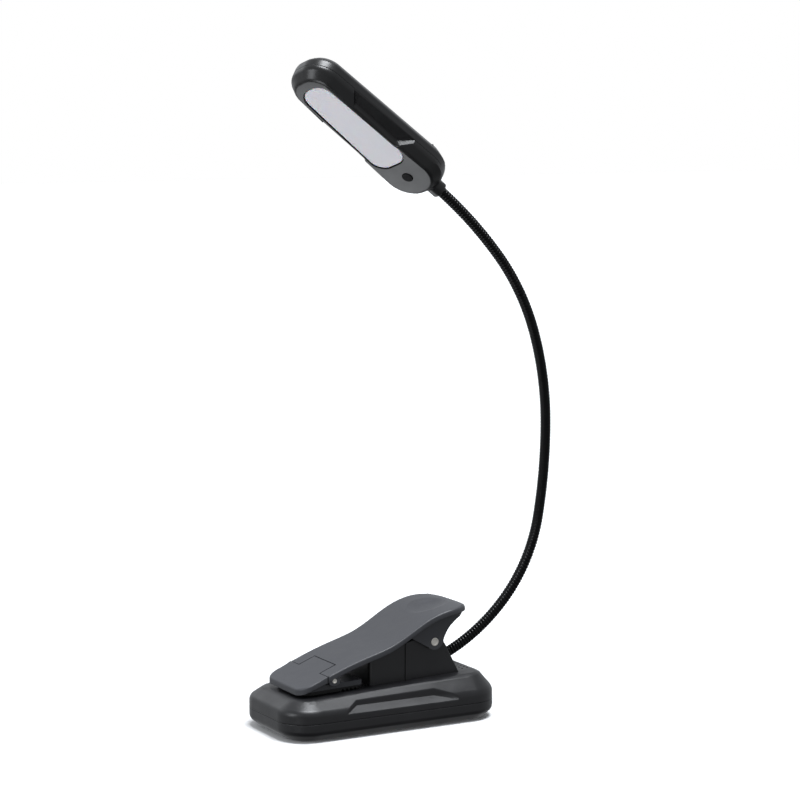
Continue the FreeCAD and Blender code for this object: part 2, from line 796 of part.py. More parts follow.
def make_neck_lead():
    start = neck_start()
    corner = start - neck_axis() * 6.4
    return tube([start, corner, V(corner.x, 0, board_top())], cable_radius)


# ---- head, built lying along +X with the light panel up, then set in place ----

def head_placement():
    end, heading, _ = neck_spans()[-1]
    twist = math.radians(head_twist)
    lengthwise = along(heading)
    level_face = V(-lengthwise.z, 0, lengthwise.x)
    facing = level_face * math.cos(twist) + V(0, -1, 0) * math.sin(twist)
    across = facing.cross(lengthwise)
    turn = FreeCAD.Rotation(lengthwise, across, facing, "XYZ")
    return FreeCAD.Placement(end + along(heading) * head_offset, turn)


def in_head(shape):
    shape.Placement = head_placement().multiply(shape.Placement)
    return shape


def head_half(x):
    share = x / head_length
    return (head_width_neck + (head_width_tip - head_width_neck) * share) / 2


def head_wire(inset, z):
    near = head_width_neck / 2 - inset
    far = head_width_tip / 2 - inset
    points = [(inset, -near), (head_length - inset, -far),
              (head_length - inset, far), (inset, near)]
    return rounded_wire(points, [near - 1, far - 1, far - 1, near - 1], z)


def lens_wire(grow, z):
    near = lens_width_neck / 2 + grow
    far = lens_width_tip / 2 + grow
    start, end = lens_start - grow, lens_start + lens_length + grow
    return rounded_wire([(start, -near), (end, -far), (end, far), (start, near)],
                        [lens_corner + grow] * 4, z)


def neck_entry():
    seat = rod(collar_radius + 0.1, V(-2, 0, 0), V(collar_seat, 0, 0))
    hole = rod(collar_neck_radius + 0.05, V(0, 0, 0), V(head_end_pad + 1, 0, 0))
    return [seat, hole]


def head_waists():
    half = head_half((head_waist_near + head_waist_far) / 2)
    waist = waist_cutter(head_waist_near, head_waist_far, (head_waist_slant, head_waist_slant),
                         half, head_waist_depth, head_waist_floor_inner, head_waist_floor_outer,
                         head_thick / 2)
    return both_sides(waist)


def make_head_back():
    low = -head_thick / 2
    outer = fuse([stack([head_wire(head_inset, low), head_wire(0, head_band_back)]),
                  stack([head_wire(0, head_band_back), head_wire(0, head_seam)])])
    room = fuse([stack([head_wire(head_inset + head_wall * 0.7, low + head_wall),
                        head_wire(head_wall, head_band_back + head_wall * 0.5)]),
                 stack([head_wire(head_wall, head_band_back + head_wall * 0.5),
                        head_wire(head_wall, head_seam + 1)])])
    shell = outer.cut(room)
    end_pad = box(0, head_end_pad, -5, 5, low, head_seam).common(outer)
    rests = [Part.makeCylinder(1.6, led_board_bottom - low - 1, V(x, 0, low + 1))
             for x in (20.0, 42.0, 64.0)]
    bosses = [Part.makeCylinder(head_boss_radius, head_seam - low - 0.8, V(x, y, low + 0.8))
              for x, y in head_screws_at]
    bosses = [boss.common(outer) for boss in bosses]
    holes = [Part.makeCylinder(head_screw_radius + 0.15, 8, V(x, y, low - 1))
             for x, y in head_screws_at]
    sinks = [Part.makeCylinder(head_screw_head + 0.15, 2.0, V(x, y, low - 1))
             for x, y in head_screws_at]
    return cut(fuse([shell, end_pad] + rests + bosses), holes + sinks + neck_entry())


def make_head_face():
    high = head_thick / 2
    outer = fuse([stack([head_wire(0, head_seam), head_wire(0, head_band_face)]),
                  stack([head_wire(0, head_band_face), head_wire(head_inset, high)])])
    room = fuse([stack([head_wire(head_wall, head_seam - 1),
                        head_wire(head_wall, head_band_face - head_wall * 0.5)]),
                 stack([head_wire(head_wall, head_band_face - head_wall * 0.5),
                        head_wire(head_inset + head_wall * 0.7, high - head_wall)])])
    mid = (head_waist_near + head_waist_far) / 2
    backs = both_sides(box(head_waist_near - head_waist_slant, head_waist_far + head_waist_slant,
                           head_half(mid) - head_waist_depth - head_waist_wall, 20, head_seam, high))
    room = cut(room, backs)
    shell = cut(outer, [room] + head_waists())
    end_pad = box(0, head_end_pad, -5, 5, head_seam, high).common(outer)
    bosses = [Part.makeCylinder(head_boss_radius, high - head_seam - 0.8, V(x, y, head_seam))
              for x, y in head_screws_at]
    bosses = [boss.common(outer) for boss in bosses]
    pilots = [Part.makeCylinder(head_screw_radius, 3.6, V(x, y, head_seam - 0.1))
              for x, y in head_screws_at]
    window = prism(lens_wire(lens_gap, 0), high + 1)
    flange_room = prism(lens_wire(lens_flange + 0.1, head_seam), high - head_wall - head_seam)
    button_hole = Part.makeCylinder(button_radius + running_gap, high + 1, V(button_x, 0, 0))
    return cut(fuse([shell, end_pad] + bosses),
               pilots + [window, flange_room, button_hole] + neck_entry())


def make_lens():
    top = head_thick / 2 - lens_recess
    ledge = head_thick / 2 - head_wall
    panel = prism(lens_wire(0, ledge - 0.5), top - ledge + 0.5)
    flange = prism(lens_wire(lens_flange, ledge - 1.0), 1.0)
    return fuse([panel, flange])


def led_top():
    return led_board_bottom + led_board_thick


def make_led_board():
    return box(led_board_start, led_board_end, -led_board_width / 2, led_board_width / 2,
               led_board_bottom, led_top())


def make_led_chips():
    first, last = lens_start + 5, lens_start + lens_length - 5
    step = (last - first) / (led_columns - 1)
    return [box(first + i * step - 1.4, first + i * step + 1.4, y - 1.75, y + 1.75,
                led_top(), led_top() + 0.8)
            for i in range(led_columns) for y in (-3.4, 3.4)]


def make_tact_switch():
    body = box(button_x - 2.3, button_x + 2.3, -2.3, 2.3, led_top(), led_top() + 1.2)
    plunger = Part.makeCylinder(1.1, 0.5, V(button_x, 0, led_top() + 1.2))
    return body.fuse(plunger)


def make_button():
    high = head_thick / 2
    foot = led_top() + 1.7 + button_travel + 0.1
    cap = Part.makeCylinder(button_radius, high + button_proud - foot, V(button_x, 0, foot))
    rim = [e for e in cap.Edges if e.Curve.TypeId == "Part::GeomCircle"
           and e.Vertexes[0].Z > high]
    cap = cap.makeFillet(0.25, rim)
    flange = Part.makeCylinder(button_radius + 0.7, 0.5, V(button_x, 0, high - head_wall - 0.6))
    return cap.fuse(flange)


def make_head_screws():
    low = -head_thick / 2 + 1.0
    return [screw(x, y, low - 0.9, head_screw_head, 0.9, head_screw_radius, head_seam + 3.2)
            for x, y in head_screws_at]


def make_collar():
    sleeve = rod(collar_radius, V(-collar_length, 0, 0), V(collar_seat, 0, 0))
    rims = [e for e in sleeve.Edges if e.Curve.TypeId == "Part::GeomCircle"]
    sleeve = sleeve.makeFillet(0.4, rims[:1] + rims[-1:])
    neck = rod(collar_neck_radius, V(0, 0, 0), V(collar_neck_end, 0, 0))
    return fuse([sleeve, neck]).cut(rod(hose_radius, V(-9, 0, 0), V(9, 0, 0)))


def make_head_nut():
    return hex_nut(V(head_end_pad + 0.1, 0, 0), V(1, 0, 0), head_nut_half_flat, head_nut_height,
                   collar_neck_radius)


def make_head_lead():
    return rod(0.6, V(hose_in_head, 0, 0), V(led_board_start + 5, 0, 0))


# ---- all pieces ----

def make_parts():
    parts = {
        "base_bottom_shell": make_bottom_shell(),
        "base_top_shell": make_top_shell(),
        "base_screws": make_base_screws(),
        "battery_cell": make_battery(),
        "battery_tape": make_tape(),
        "battery_leads": make_battery_leads(),
        "main_board": make_board(),
        "board_chips": make_chips(),
        "usb_socket": make_usb_socket(),
        "status_light_guide": make_light_guide(),
        "post_rear_housing": make_housing(),
        "post_screws": make_post_screws(),
        "pivot_pin": make_pivot_pin(),
        "clamp_spring_coil": make_spring_coil(),
        "clamp_spring_arm": make_spring_arm(),
        "clamp_lever": make_lever(),
        "jaw_pin": make_jaw_pin(),
        "jaw_flap": make_jaw_flap(),
        "jaw_pad": make_jaw_pad(),
        "neck_base_ferrule": make_base_ferrule(),
        "neck_base_nut": make_base_nut(),
        "neck_lead": make_neck_lead(),
        "neck_collar": in_head(make_collar()),
        "neck_head_nut": in_head(make_head_nut()),
        "head_back_shell": in_head(make_head_back()),
        "head_face_shell": in_head(make_head_face()),
        "diffuser_lens": in_head(make_lens()),
        "led_board": in_head(make_led_board()),
        "led_chips": [in_head(chip) for chip in make_led_chips()],
        "tact_switch": in_head(make_tact_switch()),
        "head_button": in_head(make_button()),
        "head_screws": [in_head(one) for one in make_head_screws()],
        "head_lead": in_head(make_head_lead()),
    }
    for index in range(len(span_turns)):
        parts["hose_span_%d" % (index + 1)] = make_hose_span(index)
        parts["cable_span_%d" % (index + 1)] = make_cable_span(index)
    return parts


os.makedirs("parts", exist_ok=True)
for name, shape in make_parts().items():
    if isinstance(shape, list):
        shape = Part.makeCompound(shape)
    shape.exportStep(os.path.join("parts", name + ".step"))
    print(name, len(shape.Solids), "solids", round(shape.Volume, 1), "valid", shape.isValid())
for point, heading, turn in neck_spans():
    print("neck joint", [round(c, 3) for c in point], round(heading, 2))
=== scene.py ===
import math

import bmesh
import bpy
import numpy as np
from mathutils import Matrix, Vector


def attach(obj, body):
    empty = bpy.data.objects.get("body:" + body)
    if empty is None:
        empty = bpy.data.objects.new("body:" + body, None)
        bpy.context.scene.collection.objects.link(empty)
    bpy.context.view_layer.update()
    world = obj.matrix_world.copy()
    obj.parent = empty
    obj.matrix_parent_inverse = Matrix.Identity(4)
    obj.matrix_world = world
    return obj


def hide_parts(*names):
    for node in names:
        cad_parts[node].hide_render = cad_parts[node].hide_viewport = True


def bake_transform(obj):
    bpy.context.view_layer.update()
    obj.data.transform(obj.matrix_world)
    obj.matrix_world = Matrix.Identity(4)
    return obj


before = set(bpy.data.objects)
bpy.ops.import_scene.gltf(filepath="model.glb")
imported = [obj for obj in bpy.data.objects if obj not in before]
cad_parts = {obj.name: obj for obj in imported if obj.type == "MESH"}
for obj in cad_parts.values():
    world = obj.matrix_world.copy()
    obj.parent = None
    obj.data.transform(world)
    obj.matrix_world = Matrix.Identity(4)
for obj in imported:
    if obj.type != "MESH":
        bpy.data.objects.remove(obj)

bl_info = {
    "name": "Clip-on reading lamp",
    "version": (1, 0, 0),
    "blender": (4, 5, 0),
    "location": "View3D > Sidebar > Lamp",
    "description": "Builds the looks of a clip-on reading lamp around its packed frame",
    "category": "Object",
}

MM = 0.001
DAYLIGHT = "#F8FBFF"              # the lights' faintly cool white


# ---- the lamp's own geometry, in millimetres and degrees, in the row frame ----

PIVOT = (21.0, 32.5)              # x, z of the clamp's pivot pin
PIVOT_PIN = (1.7, 14.8)           # its radius and half length
PIVOT_HOLE = 2.2                  # an edge nearer to the pin's middle belongs to its hole
JAW_PIN = (-25.2, 22.0)           # x, z of the pin that the flap turns on
JAW_PIN_SIZE = (1.0, 16.3)        # its radius and half length
JAW_HOLE = 1.3
BASE_HALF = (48.0, 24.0)          # half length and half width of the base
BASE_CORNER = 13.0                # corner radius, seen from above
SOLE_HEIGHT = 3.5                 # top of the sole's slope
PARTING_HEIGHT = 7.5              # joint between the two shells
SHOULDER_HEIGHT = 12.0            # where the side turns into the slope up to the deck
DECK_INSET = 5.8                  # from the outline in to the deck's edge
DECK_HEIGHT = 17.3                # at x = 0
DECK_SLOPE = math.tan(math.radians(2.0))
RECESS_DEPTH = 3.3                # recess in the long sides: depth, lowest z, ends in x
RECESS_LOW = 9.0
RECESS_ENDS = (-25, 28)
POST_HALF = 12.5                  # half width of the post
POST_FRONT = -7.5
POST_SEAM = 8.5                   # x of the joint between the post's two parts
POST_RIM = 2.1                    # thickness of the front block's cheeks
LEVER_DIMPLE = (25.5, 0.0)        # x, y of the thumb hollow's middle
HOLLOW_CELL = 0.7                 # size of the grid that the hollow is sunk into
HOLLOW_STRETCH = 0.92             # the hollow is a little wider than it is long
LEVER_FORK = (-20.5, 9.6)         # the flap's tongue lies in front of this x, within this half
LEVER_FRONT = -27.8               # in front of this the lever meets the flap
FLAP_JOINT = -28.6                # behind this the flap meets the lever
TONGUE = (-21.2, 9.0)             # end and half width of the flap's tongue
TONGUE_GAP = 0.22
NECK_START = (23.2, 19.4)         # x, z where the neck leaves the post
NECK_HEADING = 20.2               # its slope there
NECK_ROOT = 8.0                   # straight length before the first span
NECK_TIP = 9.0                    # straight length past the last span, into the head
SPAN_LENGTH = 38.1
SPAN_TURNS = (27.4, 32.2, 10.1, 16.8, 22.7, 12.4)
BLEND_REACH = 17.0                # distance each side of a joint at which two points on the neck's line are taken
TURN_STEPS = 20                   # flats in one turn of the winding
CABLE_RING = 2.0                  # distance between the cable's cuts
HEAD_OFFSET = 4.0                 # from the last span's end to the head's near end
HEAD_TWIST = 23.0                 # turn about the head's own length
HEAD_LENGTH = 75.0
HEAD_WIDTHS = (27.7, 22.6)        # at the neck and at the tip
HEAD_FLAT = 1.0                   # half the flat between the two arcs of a rounded end
HEAD_THICK = 12.4
HEAD_BAND = (-2.8, 2.2)           # levels between which the head's side is upright
HEAD_SEAM = 0.5                   # level of the joint between the head's shells
HEAD_SLOPE = 3.3                  # width of the slope from the band in to the flat faces
COLLAR_NOTCH = (1.0, 4)           # reach in x and half width of the collar's opening
SEAM_BENDS = (12.5, 64.0)         # where the head's seam turns into its rounded ends
LENS_WINDOW = (19.0, 69.0)        # the opal panel's opening, along the head
SIDE_SCOOP = (22.0, 59.0)         # the scoop beside the panel, along the head
SCOOP_SIZE = (3.6, 2.2)           # its reach in from the side, and down from the band
SEAM_REACH = 1.2                  # edges of the seam's groove lie this far in at most
LENS_SINK = 0.35                  # how far the opal panel lies below the head's face

# ---- how close an edge has to lie to count as being on a feature, in millimetres ----

ON_LEVEL = 0.05
ON_OUTLINE = 0.08
ON_DECK_EDGE = 0.25
ON_POST = 0.1
ON_HEAD = 0.35

# ---- parts of the full rounding ----

PARTING_SHARE = 0.2
FINE_SHARE = 0.22
SOLE_SHARE = 0.8
UNDERSIDE_SHARE = 0.5
CORNER_SHARE = 0.8
HEAD_SEAM_SHARE = 0.25
SCOOP_SHARE = 0.3

# ---- widths of small roundings, in millimetres ----

HOUSING_ROUND = 0.45
PAD_ROUND = 0.12
PIN_ROUND = 0.14
COLLAR_ROUND = 0.1
LENS_ROUND = 0.3

# ---- limits for mesh work ----

SHARP_EDGE = 14.0                 # degrees; a flatter edge is part of a smooth face
FLAT_ANGLE = 0.4                  # degrees; faces that meet flatter than this are one face
WELD = 2e-6                       # metres; points of a CAD mesh closer than this are one point
ON_TONGUE = 2e-5                  # metres; how close a point of the tongue's side has to lie
TINY = 1e-6                       # metres; shorter edges are left alone, nearer points joined
CUT_MARGIN = 1e-7                 # metres; how close a cut may pass to a point


def deck_z(x):
    return DECK_HEIGHT + x * DECK_SLOPE


def base_outline_gap(x, y):
    """How far a point is outside the base's rounded outline, in millimetres."""
    over_x = abs(x) - (BASE_HALF[0] - BASE_CORNER)
    over_y = abs(y) - (BASE_HALF[1] - BASE_CORNER)
    outside = math.hypot(max(over_x, 0), max(over_y, 0))
    return outside + min(max(over_x, over_y), 0) - BASE_CORNER


def neck_point(along):
    """Point (x, z) and heading in radians of the neck's middle line, in millimetres along it."""
    heading = math.radians(NECK_HEADING)
    x, z = NECK_START
    step = min(along, NECK_ROOT)
    x, z = x + math.cos(heading) * step, z + math.sin(heading) * step
    rest = along - step
    for turn in SPAN_TURNS:
        if rest <= 0:
            return x, z, heading
        step = min(rest, SPAN_LENGTH)
        radius = SPAN_LENGTH / math.radians(turn)
        after = heading + step / radius
        x += radius * (math.sin(after) - math.sin(heading))
        z += radius * (math.cos(heading) - math.cos(after))
        heading, rest = after, rest - step
    return x + math.cos(heading) * rest, z + math.sin(heading) * rest, heading


def neck_length():
    return NECK_ROOT + SPAN_LENGTH * len(SPAN_TURNS) + NECK_TIP


def head_matrix():
    """Head's own axes (length, across, out of the light panel) set in the row frame."""
    x, z, heading = neck_point(NECK_ROOT + SPAN_LENGTH * len(SPAN_TURNS) + HEAD_OFFSET)
    lengthwise = Vector((math.cos(heading), 0, math.sin(heading)))
    level = Vector((-lengthwise.z, 0, lengthwise.x))
    twist = math.radians(HEAD_TWIST)
    facing = level * math.cos(twist) + Vector((0, -1, 0)) * math.sin(twist)
    across = facing.cross(lengthwise)
    matrix = Matrix((lengthwise, across, facing)).transposed().to_4x4()
    matrix.translation = Vector((x, 0, z)) * MM
    return matrix


# ---- settings that a user would change ----

class LampSizes(bpy.types.PropertyGroup):
    shoulder_round: bpy.props.FloatProperty(
        name="Shoulder rounding", description="Width of the soft edge round the base",
        default=1.5 * MM, min=0.0002, unit="LENGTH")
    lever_round: bpy.props.FloatProperty(
        name="Lever rounding", description="Width of the rounded edge of lever and flap",
        default=0.7 * MM, min=0.0001, unit="LENGTH")
    head_round: bpy.props.FloatProperty(
        name="Head rounding", description="Width of the soft edges of the head shells",
        default=0.9 * MM, min=0.0001, unit="LENGTH")
    dimple_radius: bpy.props.FloatProperty(
        name="Thumb hollow radius", description="Radius of the hollow for the thumb",
        default=8.5 * MM, min=0.001, unit="LENGTH")
    dimple_depth: bpy.props.FloatProperty(
        name="Thumb hollow depth", description="Depth of the hollow for the thumb",
        default=1.5 * MM, min=0.0, unit="LENGTH")
    winding_pitch: bpy.props.FloatProperty(
        name="Winding pitch", description="Distance from turn to turn of the wound neck",
        default=1.3 * MM, min=0.0003, unit="LENGTH")
    winding_depth: bpy.props.FloatProperty(
        name="Winding depth", description="Depth of the groove between two turns",
        default=0.28 * MM, min=0.0, unit="LENGTH")
    hose_radius: bpy.props.FloatProperty(
        name="Neck radius", description="Outer radius of the wound neck",
        default=2.2 * MM, min=0.0005, unit="LENGTH")
    cable_radius: bpy.props.FloatProperty(
        name="Cable radius", description="Radius of the cable inside the neck",
        default=0.8 * MM, min=0.0002, unit="LENGTH")
    floor_size: bpy.props.FloatProperty(
        name="Floor size", description="Side of the square floor",
        default=12.0, min=1.0, unit="LENGTH")
    camera_distance: bpy.props.FloatProperty(
        name="Camera distance", description="From the camera to the middle of the lamp",
        default=1.0, min=0.3, unit="LENGTH")


def linear(code, alpha=1.0):
    """An sRGB hex colour as linear numbers."""
    parts = [int(code[i:i + 2], 16) / 255 for i in (1, 3, 5)]
    return tuple(c / 12.92 if c <= 0.04045 else ((c + 0.055) / 1.055) ** 2.4
                 for c in parts) + (alpha,)


def colour_property(label, meaning, code):
    return bpy.props.FloatVectorProperty(
        name=label, description=meaning, subtype="COLOR", size=4, min=0.0, max=1.0,
        default=linear(code))


class LampColours(bpy.types.PropertyGroup):
    shell: colour_property("Shell", "Satin black ABS of the base and post", "#1B1B1D")
    lever: colour_property("Lever", "Matt graphite ABS of lever and flap", "#3E3F43")
    head: colour_property("Head", "Polished black ABS of the head", "#131314")
    lens: colour_property("Lens", "Opal panel over the lights", "#E4E1E5")
    neck: colour_property("Neck", "Black lacquer on the wound wire", "#080809")
    rubber: colour_property("Rubber", "Rubber of the jaw pad", "#101011")
    steel: colour_property("Steel", "Plated steel of pins and screws", "#E6E2DA")
    floor: colour_property("Floor", "Plain pale floor", "#F2F2F2")


def sizes():
    return bpy.context.scene.lamp_sizes


def colours():
    return bpy.context.scene.lamp_colours


# ---- materials ----

def add_node(tree, kind, values=None, links=None, **settings):
    """Adds a node with its settings, the values of its sockets and its links."""
    node = tree.nodes.new(kind)
    for name, value in settings.items():
        setattr(node, name, value)
    for socket, value in (values or {}).items():
        node.inputs[socket].default_value = value
    for socket, source in (links or {}).items():
        tree.links.new(source, node.inputs[socket])
    return node


def per_metre(size_mm):
    """Texture scale that makes one feature size_mm across."""
    return 1.0 / (size_mm * MM)


def shaded(colour, factor):
    """The colour made darker or lighter by a factor."""
    return tuple(min(c * factor, 1.0) for c in colour[:3]) + (1.0,)


def surface(name, colour, roughness, grain_mm, relief_mm, spread=0.12, cloud_mm=9.0,
            roughness_spread=0.06, shader=None):
    """Principled material whose colour, roughness and relief vary with noise of a real size.

    The colour follows the clouds and, at 0.35 of their weight, the grain; the roughness follows
    the clouds; the relief follows the grain."""
    found = bpy.data.materials.get(name)
    if found:
        return found
    material = bpy.data.materials.new(name)
    material.use_nodes = True
    tree = material.node_tree
    tree.nodes.clear()
    place = add_node(tree, "ShaderNodeTexCoord").outputs["Object"]
    cloud = add_node(tree, "ShaderNodeTexNoise",
                     {"Scale": per_metre(cloud_mm), "Detail": 4.0, "Roughness": 0.6},
                     {"Vector": place})
    grain = add_node(tree, "ShaderNodeTexNoise",
                     {"Scale": per_metre(grain_mm), "Detail": 3.0, "Roughness": 0.65},
                     {"Vector": place})
    mixed = add_node(tree, "ShaderNodeMath", {1: 0.35}, {0: grain.outputs["Fac"],
                     2: cloud.outputs["Fac"]}, operation="MULTIPLY_ADD")
    tint = add_node(tree, "ShaderNodeMapRange",
                    {"From Min": 0.45, "From Max": 0.9, "To Min": 0.0, "To Max": 1.0},
                    {"Value": mixed.outputs[0]})
    ramp = add_node(tree, "ShaderNodeValToRGB", None, {"Fac": tint.outputs["Result"]})
    ramp.color_ramp.elements[0].color = shaded(colour, 1 - spread)
    ramp.color_ramp.elements[1].color = shaded(colour, 1 + spread)
    gloss = add_node(tree, "ShaderNodeMapRange",
                     {"From Min": 0.3, "From Max": 0.7, "To Min": roughness - roughness_spread,
                      "To Max": roughness + roughness_spread}, {"Value": cloud.outputs["Fac"]})
    bump = add_node(tree, "ShaderNodeBump", {"Strength": 1.0, "Distance": relief_mm * MM},
                    {"Height": grain.outputs["Fac"]})
    principled = add_node(tree, "ShaderNodeBsdfPrincipled", shader,
                          {"Base Color": ramp.outputs["Color"],
                           "Roughness": gloss.outputs["Result"],
                           "Normal": bump.outputs["Normal"]})
    add_node(tree, "ShaderNodeOutputMaterial", None, {"Surface": principled.outputs["BSDF"]})
    return material


def shell_abs():
    # ABS moulded against a finely eroded tool: satin, slightly warm black, soft wide highlights.
    # The real grain is about 0.1 mm; it is drawn at 0.7 mm so that it shows.
    return surface("ABS_moulded_satin_black", colours().shell, roughness=0.36, grain_mm=0.7,
                   relief_mm=0.012, spread=0.16, shader={"IOR": 1.53})


def lever_abs():
    # The same plastic from a coarser tool: matt graphite that scatters light evenly.
    # The real grain is about 0.15 mm; it is drawn at 0.8 mm so that it shows.
    return surface("ABS_moulded_matt_graphite", colours().lever, roughness=0.46,
                   grain_mm=0.8, relief_mm=0.018, spread=0.08,
                   shader={"IOR": 1.53, "Specular IOR Level": 0.45})


def head_abs():
    # ABS from a polished tool: deeper black and a sharper highlight than the base.
    return surface("ABS_moulded_polished_black", colours().head, roughness=0.33,
                   grain_mm=0.9, relief_mm=0.001, spread=0.1, roughness_spread=0.03,
                   shader={"IOR": 1.55})


def opal_panel():
    # Moulded opal polycarbonate: milky and even, light goes a little way into it.
    return surface("Polycarbonate_opal", colours().lens, roughness=0.34, grain_mm=1.2,
                   relief_mm=0.004, spread=0.03, cloud_mm=20.0, roughness_spread=0.03,
                   shader={"IOR": 1.58, "Subsurface Weight": 0.25,
                           "Subsurface Scale": 1.5 * MM})


def neck_lacquer():
    # Lacquered steel wire, tightly wound: black and glossy, so each turn has its own glint.
    return surface("Steel_wire_black_lacquer", colours().neck, roughness=0.2, grain_mm=0.5,
                   relief_mm=0.003, spread=0.2, cloud_mm=5.0, roughness_spread=0.04,
                   shader={"IOR": 1.42, "Specular IOR Level": 0.25})


def pad_rubber():
    # Moulded rubber: dull black, no clear highlight.
    return surface("Rubber_moulded_black", colours().rubber, roughness=0.72, grain_mm=0.6,
                   relief_mm=0.02, shader={"IOR": 1.52})


def button_rubber():
    # Silicone rubber key: duller and darker than the polished shell round it.
    return surface("Silicone_rubber_black", linear("#0B0B0C"), roughness=0.62, grain_mm=0.6,
                   relief_mm=0.006, shader={"IOR": 1.41, "Specular IOR Level": 0.2})


def black_oxide():
    # Screw steel under black oxide: dark metal with a low shine.
    return surface("Steel_black_oxide", linear("#2A2A2C"), roughness=0.36, grain_mm=0.3,
                   relief_mm=0.004, spread=0.15, cloud_mm=2.0, shader={"Metallic": 1.0})


def plated_steel():
    # Nickel-plated steel, turned: warm light grey with faint wear.
    return surface("Steel_nickel_plated", colours().steel, roughness=0.38, grain_mm=0.35,
                   relief_mm=0.004, spread=0.06, cloud_mm=2.0, roughness_spread=0.08,
                   shader={"Metallic": 0.75})


def zinc_steel():
    # Zinc-plated screw steel: cooler and a little duller.
    return surface("Steel_zinc_plated", linear("#A4A8AA"), roughness=0.34, grain_mm=0.3,
                   relief_mm=0.004, cloud_mm=2.0, roughness_spread=0.08,
                   shader={"Metallic": 1.0})


def spring_steel():
    # Drawn spring wire, oiled: darker grey metal.
    return surface("Spring_steel_drawn", linear("#77797B"), roughness=0.3, grain_mm=0.25,
                   relief_mm=0.003, cloud_mm=2.0, shader={"Metallic": 1.0})


def board_laminate():
    # Glass-fibre laminate under green solder mask: glossy, faint weave.
    return surface("Laminate_solder_mask_green", linear("#14512F"), roughness=0.3,
                   grain_mm=0.8, relief_mm=0.01, spread=0.18, cloud_mm=3.0,
                   roughness_spread=0.05, shader={"IOR": 1.55})


def white_laminate():
    # Laminate under white solder mask, which throws the light back to the panel.
    return surface("Laminate_solder_mask_white", linear("#E4E4E0"), roughness=0.35,
                   grain_mm=0.8, relief_mm=0.006, spread=0.03, cloud_mm=3.0,
                   roughness_spread=0.05, shader={"IOR": 1.55})


def chip_epoxy():
    # Filled epoxy of small components: dull near-black.
    return surface("Epoxy_moulded_dark", linear("#1D1D1F"), roughness=0.55, grain_mm=0.3,
                   relief_mm=0.008, spread=0.15, cloud_mm=2.0)


def phosphor():
    # Silicone with yellow phosphor over each light chip.
    return surface("Silicone_phosphor_yellow", linear("#DCC35A"), roughness=0.4,
                   grain_mm=0.3, relief_mm=0.006, spread=0.08, cloud_mm=1.5)


def cell_foil():
    # Laminated aluminium foil of a pouch cell: soft metallic sheen with creases.
    return surface("Foil_laminate_silver", linear("#A9ABAE"), roughness=0.38, grain_mm=3.5,
                   relief_mm=0.08, spread=0.07, cloud_mm=12.0, roughness_spread=0.08,
                   shader={"Metallic": 0.85})


def foam_tape():
    # Open-cell acrylic foam: rough, grey.
    return surface("Foam_tape_grey", linear("#6C6C6A"), roughness=0.85, grain_mm=0.4,
                   relief_mm=0.05, spread=0.15, cloud_mm=3.0)


def lead_pvc():
    # Extruded PVC insulation: smooth, slightly waxy.
    return surface("PVC_extruded_black", linear("#131314"), roughness=0.42, grain_mm=0.6,
                   relief_mm=0.004, spread=0.1, cloud_mm=4.0)


def lead_red():
    # The same insulation in red, for the cell's leads.
    return surface("PVC_extruded_red", linear("#8E1A17"), roughness=0.42, grain_mm=0.6,
                   relief_mm=0.004, spread=0.1, cloud_mm=4.0)


def clear_acrylic():
    # Moulded clear acrylic light guide: smoky where it sits in the dark deck.
    return surface("Acrylic_clear_smoked", linear("#3A3D40"), roughness=0.12, grain_mm=1.0,
                   relief_mm=0.002, spread=0.05, cloud_mm=6.0, roughness_spread=0.02,
                   shader={"IOR": 1.49, "Transmission Weight": 0.5})


# ---- small tools for modelling ----

def deselect():
    if bpy.context.mode != "OBJECT":
        bpy.ops.object.mode_set(mode="OBJECT")
    bpy.ops.object.select_all(action="DESELECT")


def activate(obj):
    deselect()
    obj.select_set(True)
    bpy.context.view_layer.objects.active = obj


def enter(obj, mode="EDGE"):
    activate(obj)
    bpy.ops.object.mode_set(mode="EDIT")
    bpy.ops.mesh.select_mode(type=mode)
    bpy.ops.mesh.select_all(action="DESELECT")


def leave():
    bpy.ops.object.mode_set(mode="OBJECT")


def pick(obj, what, rule):
    """In edit mode, selects only the verts, edges or faces that follow the rule."""
    mesh = bmesh.from_edit_mesh(obj.data)
    mesh.normal_update()
    for item in list(mesh.verts) + list(mesh.edges) + list(mesh.faces):
        item.select = False
    for item in [item for item in getattr(mesh, what) if rule(item)]:
        item.select_set(True)
    bmesh.update_edit_mesh(obj.data)


def apply(obj, kind, **settings):
    """Adds a modifier with its settings and applies it."""
    activate(obj)
    modifier = obj.modifiers.new(kind.title(), kind)
    for name, value in settings.items():
        setattr(modifier, name, value)
    bpy.ops.object.modifier_apply(modifier=modifier.name)


def set_place(obj):
    """Puts the object's place, turn and scale into its mesh."""
    activate(obj)
    bpy.ops.object.transform_apply(location=True, rotation=True, scale=True)


def cad_copy(node, name):
    """A welded copy of a CAD node's mesh, ready for edge work."""
    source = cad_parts[node]
    obj = bpy.data.objects.new(name, source.data.copy())
    bpy.context.scene.collection.objects.link(obj)
    obj.data.materials.clear()
    for key in list(obj.keys()):
        del obj[key]
    activate(obj)
    if obj.data.has_custom_normals:
        bpy.ops.mesh.customdata_custom_splitnormals_clear()
    enter(obj, "VERT")
    bpy.ops.mesh.select_all(action="SELECT")
    bpy.ops.mesh.remove_doubles(threshold=WELD)
    bpy.ops.mesh.dissolve_limited(angle_limit=math.radians(FLAT_ANGLE))
    leave()
    return obj


def middle(edge):
    """An edge's middle, in millimetres."""
    return (edge.verts[0].co + edge.verts[1].co) / (2 * MM)


